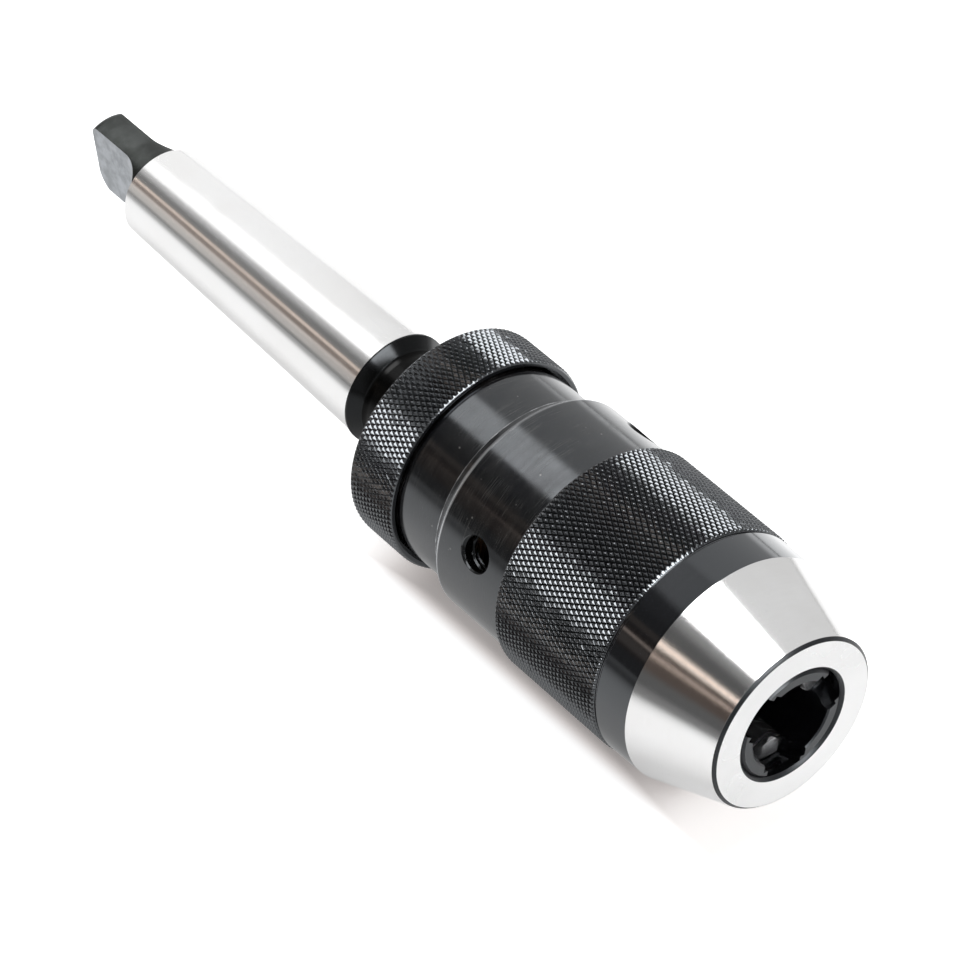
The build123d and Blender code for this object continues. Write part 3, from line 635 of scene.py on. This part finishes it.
def knurlBand(name, knurl):
    # a ring of edges is drawn out cell by cell, poked into diamonds, and each diamond is raised in steps that get
    # flatter
    foot, pitch, start, end = knurlFoot(knurl), knurl["pitch"], knurl["start"], knurl["end"]
    hair = making["hair"] * mm
    deselectAll()
    bpy.ops.mesh.primitive_circle_add(vertices=knurl["around"], radius=foot * mm, fill_type="NOTHING",
                                      location=((start - pitch) * mm, 0, 0), rotation=(0, math.pi / 2, 0))
    obj = bpy.context.object
    obj.name = obj.data.name = name
    bpy.ops.object.transform_apply(location=True, rotation=True, scale=True)
    edit(obj)
    for _ in range(math.ceil((end - start) / pitch) + 2):
        bpy.ops.mesh.extrude_edges_move(TRANSFORM_OT_translate={"value": (pitch * mm, 0, 0)})
    turnOutwards()
    bpy.ops.mesh.poke()
    bpy.ops.mesh.select_mode(type="EDGE")
    bpy.ops.mesh.select_all(action="DESELECT")
    leave()
    # the edges of the first grid go, so that diamonds are left between them
    mesh = obj.data
    limit = foot * mm * (1 + math.cos(math.pi / knurl["around"])) / 2
    places = [vertex.co.x for vertex in mesh.vertices]
    ends = (min(places), max(places))
    onGrid = [radiusOf(vertex.co) > limit for vertex in mesh.vertices]
    for edge in mesh.edges:
        a, b = edge.vertices
        atEnd = any(abs(places[a] - e) < hair and abs(places[b] - e) < hair for e in ends)
        edge.select = onGrid[a] and onGrid[b] and not atEnd
    bpy.ops.object.mode_set(mode="EDIT")
    bpy.ops.mesh.dissolve_edges(use_verts=False)
    bpy.ops.mesh.select_mode(type="FACE")
    bpy.ops.mesh.select_all(action="SELECT")
    for width, lift in knurl["steps"]:
        bpy.ops.mesh.inset(use_individual=True, thickness=width * mm, depth=lift * mm)
    bpy.ops.mesh.select_mode(type="VERT")
    bpy.ops.mesh.select_all(action="SELECT")
    # poke leaves the points in an order of its own each time, so they are sorted before they wander
    points = bmesh.from_edit_mesh(mesh).verts
    order = {point: rank for rank, point in enumerate(sorted(points, key=lambda point: tuple(point.co)))}
    points.sort(key=order.get)
    bmesh.update_edit_mesh(mesh)
    bpy.ops.transform.vertex_random(offset=knurl["wander"] * mm, seed=knurl["seed"])
    # cut to length, with more cuts where the end chamfers come
    cuts = [(start, True, False), (end, False, True), (start + knurl["rearChamfer"], False, False)]
    cuts += [(end - knurl["frontChamfer"] * share, False, False) for share in making["chamferCuts"]]
    for place, inner, outer in cuts:
        bpy.ops.mesh.select_all(action="SELECT")
        bpy.ops.mesh.bisect(plane_co=(place * mm, 0, 0), plane_no=(1, 0, 0), clear_inner=inner, clear_outer=outer)
    leave()
    for vertex in mesh.vertices:
        fromRear = vertex.co.x / mm - start
        fromFront = end - vertex.co.x / mm
        top = knurl["radius"] - max(0, knurl["rearChamfer"] - fromRear, knurl["frontChamfer"] - fromFront)
        radius = radiusOf(vertex.co) / mm
        if radius > top:
            vertex.co.y *= top / radius
            vertex.co.z *= top / radius
    # the open ends are turned down into the core and bridged on the inside
    shrink = (foot - making["tuck"]) / foot
    for place in (start, end):
        edit(obj, choose=False)
        bpy.ops.mesh.select_mode(type="EDGE")
        leave()
        for edge in mesh.edges:
            edge.select = all(abs(mesh.vertices[v].co.x - place * mm) < hair for v in edge.vertices)
        bpy.ops.object.mode_set(mode="EDIT")
        bpy.ops.mesh.extrude_edges_move(TRANSFORM_OT_translate={"value": (0, 0, 0)})
        bpy.ops.transform.resize(value=(1, shrink, shrink), center_override=(place * mm, 0, 0))
        leave()
    edit(obj, choose=False)
    bpy.ops.mesh.select_mode(type="EDGE")
    bpy.ops.mesh.select_non_manifold(extend=False)
    bpy.ops.mesh.bridge_edge_loops()
    turnOutwards()
    bpy.ops.mesh.select_mode(type="VERT")
    leave()
    # the foot of the diamonds gets a darker, duller black, painted shade in the valleys
    shadeTop = foot + knurl["shadeRise"]
    giveZones(obj, [(valleyShade, lambda x, r, f: r < shadeTop and x < end - knurl["frontChamfer"]),
                    (blackKnurl, lambda x, r, f: True)])
    smooth(obj, knurl["smooth"], weighted=False)
    return obj


# nose hood: knurled grip, plain black band, ground cone and flat nose

hood = {
    "rear": 62.6, "front": 118.8, "bore": 21.53, "rearRadius": 24.5, "bandRadius": 24.9,
    "groove": 0.35, "coneStart": 100.7, "coneRadius": 24.72, "noseRadius": 18.9, "noseChamfer": 0.6,
    "mouth": 11.95, "mouthChamfer": 0.65, "mouthBack": 116.6, "innerSlope": 19.5, "coreEnd": 91.85,
    "bevelFrom": 12, "smooth": 35,
    # how near to an edge a finish ends, how far the shiny black reaches in behind the mouth, and how far a face
    # looks forwards where it counts as cone or as rim
    "edgeGap": 0.02, "rimReach": 0.1, "faceInner": 0.04, "faceOuter": 0.05, "shineReach": 2, "coneTilt": 0.1,
    "rimTilt": 0.2,
    "knurl": {
        "radius": 25.2, "depth": 0.435, "steps": ((0.12, 0.20), (0.14, 0.115), (0.13, 0.09), (0.10, 0.03)),
        "pitch": 2.11, "around": 130, "start": 62.9, "end": 91.9, "rearChamfer": 0.4, "frontChamfer": 0.5,
        "wander": 0.014, "seed": 3, "shadeRise": 0.17, "smooth": 14},
}
hoodCoreRadius = knurlFoot(hood["knurl"]) - making["coreBelow"]
hoodChamferStart = hood["front"] - hood["noseChamfer"]
hoodCore = turnedPiece("noseHood", [
    (hood["rear"], hood["bore"]),
    (hood["rear"], hood["rearRadius"]),
    (hood["knurl"]["start"], hoodCoreRadius),
    (hood["coreEnd"], hoodCoreRadius),
    (hood["coreEnd"], hood["bandRadius"] - hood["groove"]),
    (hood["knurl"]["end"] + hood["groove"], hood["bandRadius"] - hood["groove"]),
    (hood["knurl"]["end"] + 2 * hood["groove"], hood["bandRadius"]),
    (hood["coneStart"], hood["coneRadius"]),
    (hoodChamferStart, hood["noseRadius"]),
    (hood["front"], hood["noseRadius"] - hood["noseChamfer"]),
    (hood["front"], hood["mouth"] + hood["mouthChamfer"]),
    (hood["front"] - hood["mouthChamfer"], hood["mouth"]),
    (hood["mouthBack"], hood["mouth"]),
    (hood["mouthBack"] - (hood["bore"] - hood["mouth"]) / math.tan(math.radians(hood["innerSlope"])), hood["bore"]),
])
bevelled(hoodCore, hood["bevelFrom"])
hoodKnurl = knurlBand("hoodKnurl", hood["knurl"])
smooth(hoodCore, hood["smooth"])
giveZones(hoodCore, [
    (groundCone, lambda x, r, f: hood["coneStart"] <= x < hoodChamferStart - hood["edgeGap"]
     and r > hood["noseRadius"] - hood["rimReach"] and f.normal.x > hood["coneTilt"]),
    (groundFace, lambda x, r, f: x > hood["front"] - hood["edgeGap"]
     and hood["mouth"] + hood["mouthChamfer"] + hood["faceInner"] < r
     and r < hood["noseRadius"] - hood["noseChamfer"] - hood["faceOuter"]),
    (rimBlack, lambda x, r, f: x > hoodChamferStart - hood["rimReach"] and f.normal.x > hood["rimTilt"]),
    (glossBlack, lambda x, r, f: x > hood["mouthBack"] - hood["shineReach"]),
    (blackBand, lambda x, r, f: True),
])
noseHood = joined(hoodCore, hoodKnurl)
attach(noseHood, "sleeve")
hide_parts("nose_hood")
print("hood:", len(noseHood.data.polygons), "faces")


# rear grip ring with the same knurl

ring = {
    "rear": 16.5, "front": 29.4, "seat": 14.03, "web": 24.5, "bore": 22.6, "chamfer": 0.5,
    "bevelFrom": 40, "bevel": 0.08, "smooth": 35,
    "keyway": {"place": 20, "length": 12, "width": 4.06, "height": 16.03},
    "knurl": {
        "radius": 23.9, "depth": 0.415, "steps": ((0.07, 0.11), (0.21, 0.175), (0.15, 0.11), (0.07, 0.02)),
        "pitch": 2.11, "around": 123, "start": 16.75, "end": 29.38, "rearChamfer": 0.3, "frontChamfer": 0.5,
        "wander": 0.014, "seed": 5, "shadeRise": 0.12, "smooth": 14},
}
ringCoreRadius = knurlFoot(ring["knurl"]) - making["coreBelow"]
ringEdge = ring["knurl"]["radius"] - ring["chamfer"]
gripRing = turnedPiece("gripRing", [
    (ring["rear"], ring["seat"]),
    (ring["rear"], ringEdge),
    (ring["rear"] + ringCoreRadius - ringEdge, ringCoreRadius),
    (ring["front"] - ringCoreRadius + ringEdge, ringCoreRadius),
    (ring["front"], ringEdge),
    (ring["front"], ring["bore"]),
    (ring["web"], ring["bore"]),
    (ring["web"], ring["seat"]),
])
keyway = ring["keyway"]
deselectAll()
bpy.ops.mesh.primitive_cube_add(size=1, location=(keyway["place"] * mm, 0, keyway["height"] * mm / 2))
keyCutter = bpy.context.object
edit(keyCutter)
bpy.ops.transform.resize(value=(keyway["length"] * mm, keyway["width"] * mm, keyway["height"] * mm))
leave()
cutAway(gripRing, keyCutter, "keyway")
bevelled(gripRing, ring["bevelFrom"], ring["bevel"])
smooth(gripRing, ring["smooth"])
gripRing.data.materials.clear()
gripRing.data.materials.append(blackBand)
joined(gripRing, knurlBand("ringKnurl", ring["knurl"]))
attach(gripRing, "root")
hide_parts("rear_grip_ring")
print("ring:", len(gripRing.data.polygons), "faces")


# outer sleeve with its tapped spanner holes

sleeve = {
    "rear": 25.1, "step": 41.2, "bevelEnd": 43.5, "front": 62.6, "spigotEnd": 72.0, "seat": 36.0, "chamfer": 0.5,
    "rearRadius": 22.0, "radius": 24.0, "edgeDrop": 0.3, "edgeLength": 0.5, "spigot": 21.5, "bore": 20.0,
    "rearBore": 15.3, "grooveFrom": 28.35, "grooveTo": 30.85, "grooveRadius": 17.18, "bevelFrom": 9, "smooth": 30,
    # thread sizes in mm; crest and root shape its flanks, and plain is the depth without thread
    "hole": {"place": 54.0, "turn": 40.6, "count": 3, "minor": 3.4, "major": 3.78, "pitch": 1.25, "crest": 1.6,
             "root": 0.3, "flare": 0.6, "edge": 0.22, "plain": 2.3, "around": 48, "perPitch": 8, "inside": 1.5,
             "outside": 1},
}
outerSleeve = turnedPiece("outerSleeve", [
    (sleeve["rear"], sleeve["rearBore"]),
    (sleeve["rear"], sleeve["rearRadius"] - sleeve["chamfer"]),
    (sleeve["rear"] + sleeve["chamfer"], sleeve["rearRadius"]),
    (sleeve["step"], sleeve["rearRadius"]),
    (sleeve["bevelEnd"], sleeve["radius"] - sleeve["edgeDrop"]),
    (sleeve["bevelEnd"] + sleeve["edgeLength"], sleeve["radius"]),
    (sleeve["front"], sleeve["radius"]),
    (sleeve["front"], sleeve["spigot"]),
    (sleeve["spigotEnd"], sleeve["spigot"]),
    (sleeve["spigotEnd"], sleeve["bore"]),
    (sleeve["seat"], sleeve["bore"]),
    (sleeve["seat"], sleeve["rearBore"]),
    (sleeve["grooveTo"], sleeve["rearBore"]),
    (sleeve["grooveTo"], sleeve["grooveRadius"]),
    (sleeve["grooveFrom"], sleeve["grooveRadius"]),
    (sleeve["grooveFrom"], sleeve["rearBore"]),
])
bevelled(outerSleeve, sleeve["bevelFrom"])
outerSleeve.data.materials.append(satinBlack)
outerSleeve.data.materials.append(holeShade)


def threadCutter(hole, start, outside):
    # a disc drawn out row by row; each row's radius follows the winding thread and flares at the outside
    rise = hole["pitch"] / hole["perPitch"]
    deselectAll()
    bpy.ops.mesh.primitive_circle_add(vertices=hole["around"], radius=hole["minor"] * mm, fill_type="NGON",
                                      location=(0, 0, start * mm))
    cutter = bpy.context.object
    bpy.ops.object.transform_apply(location=True, rotation=True, scale=True)
    edit(cutter)
    for _ in range(math.ceil((outside + hole["outside"] - start) / hole["pitch"] * hole["perPitch"])):
        bpy.ops.mesh.extrude_region_move(TRANSFORM_OT_translate={"value": (0, 0, rise * mm)})
    turnOutwards()
    leave()
    for vertex in cutter.data.vertices:
        height = vertex.co.z / mm
        phase = (height / hole["pitch"] - math.atan2(vertex.co.y, vertex.co.x) / (2 * math.pi)) % 1
        flank = min(1, max(0, hole["crest"] * (1 - abs(2 * phase - 1)) - hole["root"]))
        lift = flank if height < outside - hole["plain"] else 0
        radius = hole["minor"] + (hole["major"] - hole["minor"]) * lift
        radius = max(radius, hole["minor"] + height - outside + hole["flare"])
        vertex.co.x *= radius / hole["minor"]
        vertex.co.y *= radius / hole["minor"]
    return cutter


hole = sleeve["hole"]
for count in range(hole["count"]):
    holeCutter = threadCutter(hole, sleeve["bore"] - hole["inside"], sleeve["radius"])
    holeCutter.data.materials.append(satinBlack)
    holeCutter.data.materials.append(holeShade)
    # below the edge the hole's walls take the painted shade
    for face in holeCutter.data.polygons:
        face.material_index = 1 if face.center.z / mm < sleeve["radius"] - hole["edge"] else 0
    around = hole["turn"] + count * 360 / hole["count"]
    holeCutter.rotation_euler = (math.radians(around - 90), 0, 0)
    holeCutter.location = (hole["place"] * mm, 0, 0)
    cutAway(outerSleeve, holeCutter, "tappedHole", materials="TRANSFER")
smooth(outerSleeve, sleeve["smooth"])
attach(outerSleeve, "sleeve")
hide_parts("outer_sleeve")
print("sleeve:", len(outerSleeve.data.polygons), "faces")


# finishes of the CAD nodes that stay as they are

nodeFinish = {
    "ring_key": brightSteel, "ring_circlip": springSteel, "dust_o_ring": sealRubber, "sleeve_race": bearingSteel,
    "body_race": bearingSteel, "thrust_balls": bearingSteel, "ball_cage": stampedBrass, "thrust_washer": castBronze,
    "drive_screw": guideBlack, "jaw_1": jawSteel, "jaw_2": jawSteel, "jaw_3": jawSteel,
}
for nodeName, nodeMaterial in nodeFinish.items():
    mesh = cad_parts[nodeName].data
    mesh.materials.clear()
    mesh.materials.append(nodeMaterial)

# the tang keeps its milled flats and, beside them, what the lathe left
tang = {"shankEnd": -78.5, "edgeGap": 0.1, "runOut": 1, "tipReach": 10, "tipTilt": 0.7, "flatReach": 6.0,
        "flatShare": 0.9, "faceTilt": 0.999}


def reachOf(face):
    # how far a face looks outwards from the axis, in mm
    return (face.normal.y * face.center.y + face.normal.z * face.center.z) / mm


giveZones(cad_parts["taper_arbor"], [
    (turnedTang, lambda x, r, f: x < tang["shankEnd"] - tang["edgeGap"] and reachOf(f) > tang["flatReach"]),
    (turnedTang, lambda x, r, f: x < tang["shankEnd"] - tang["tipReach"] and abs(f.normal.x) > tang["tipTilt"]),
    (milledTang, lambda x, r, f: x < tang["shankEnd"] + tang["runOut"] and abs(f.normal.x) < tang["faceTilt"]
     and reachOf(f) < tang["flatShare"] * r),
    (groundSteel, lambda x, r, f: x > tang["shankEnd"] - tang["edgeGap"]),
    (milledTang, lambda x, r, f: True),
])
# the body's rim shines, its neck lies in the dark
neck = {"start": 2.6, "radius": 12.2}
giveZones(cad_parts["chuck_body"], [
    (neckShade, lambda x, r, f: x > neck["start"] and r < neck["radius"]),
    (neckBlack, lambda x, r, f: True),
])
# the guide's chamfers are duller than its flat front
guide = {"chamferTilt": (0.3, 0.95)}
giveZones(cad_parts["jaw_guide"], [
    (rimBlack, lambda x, r, f: guide["chamferTilt"][0] < f.normal.x < guide["chamferTilt"][1]),
    (guideBlack, lambda x, r, f: True),
])
print("finishes placed")
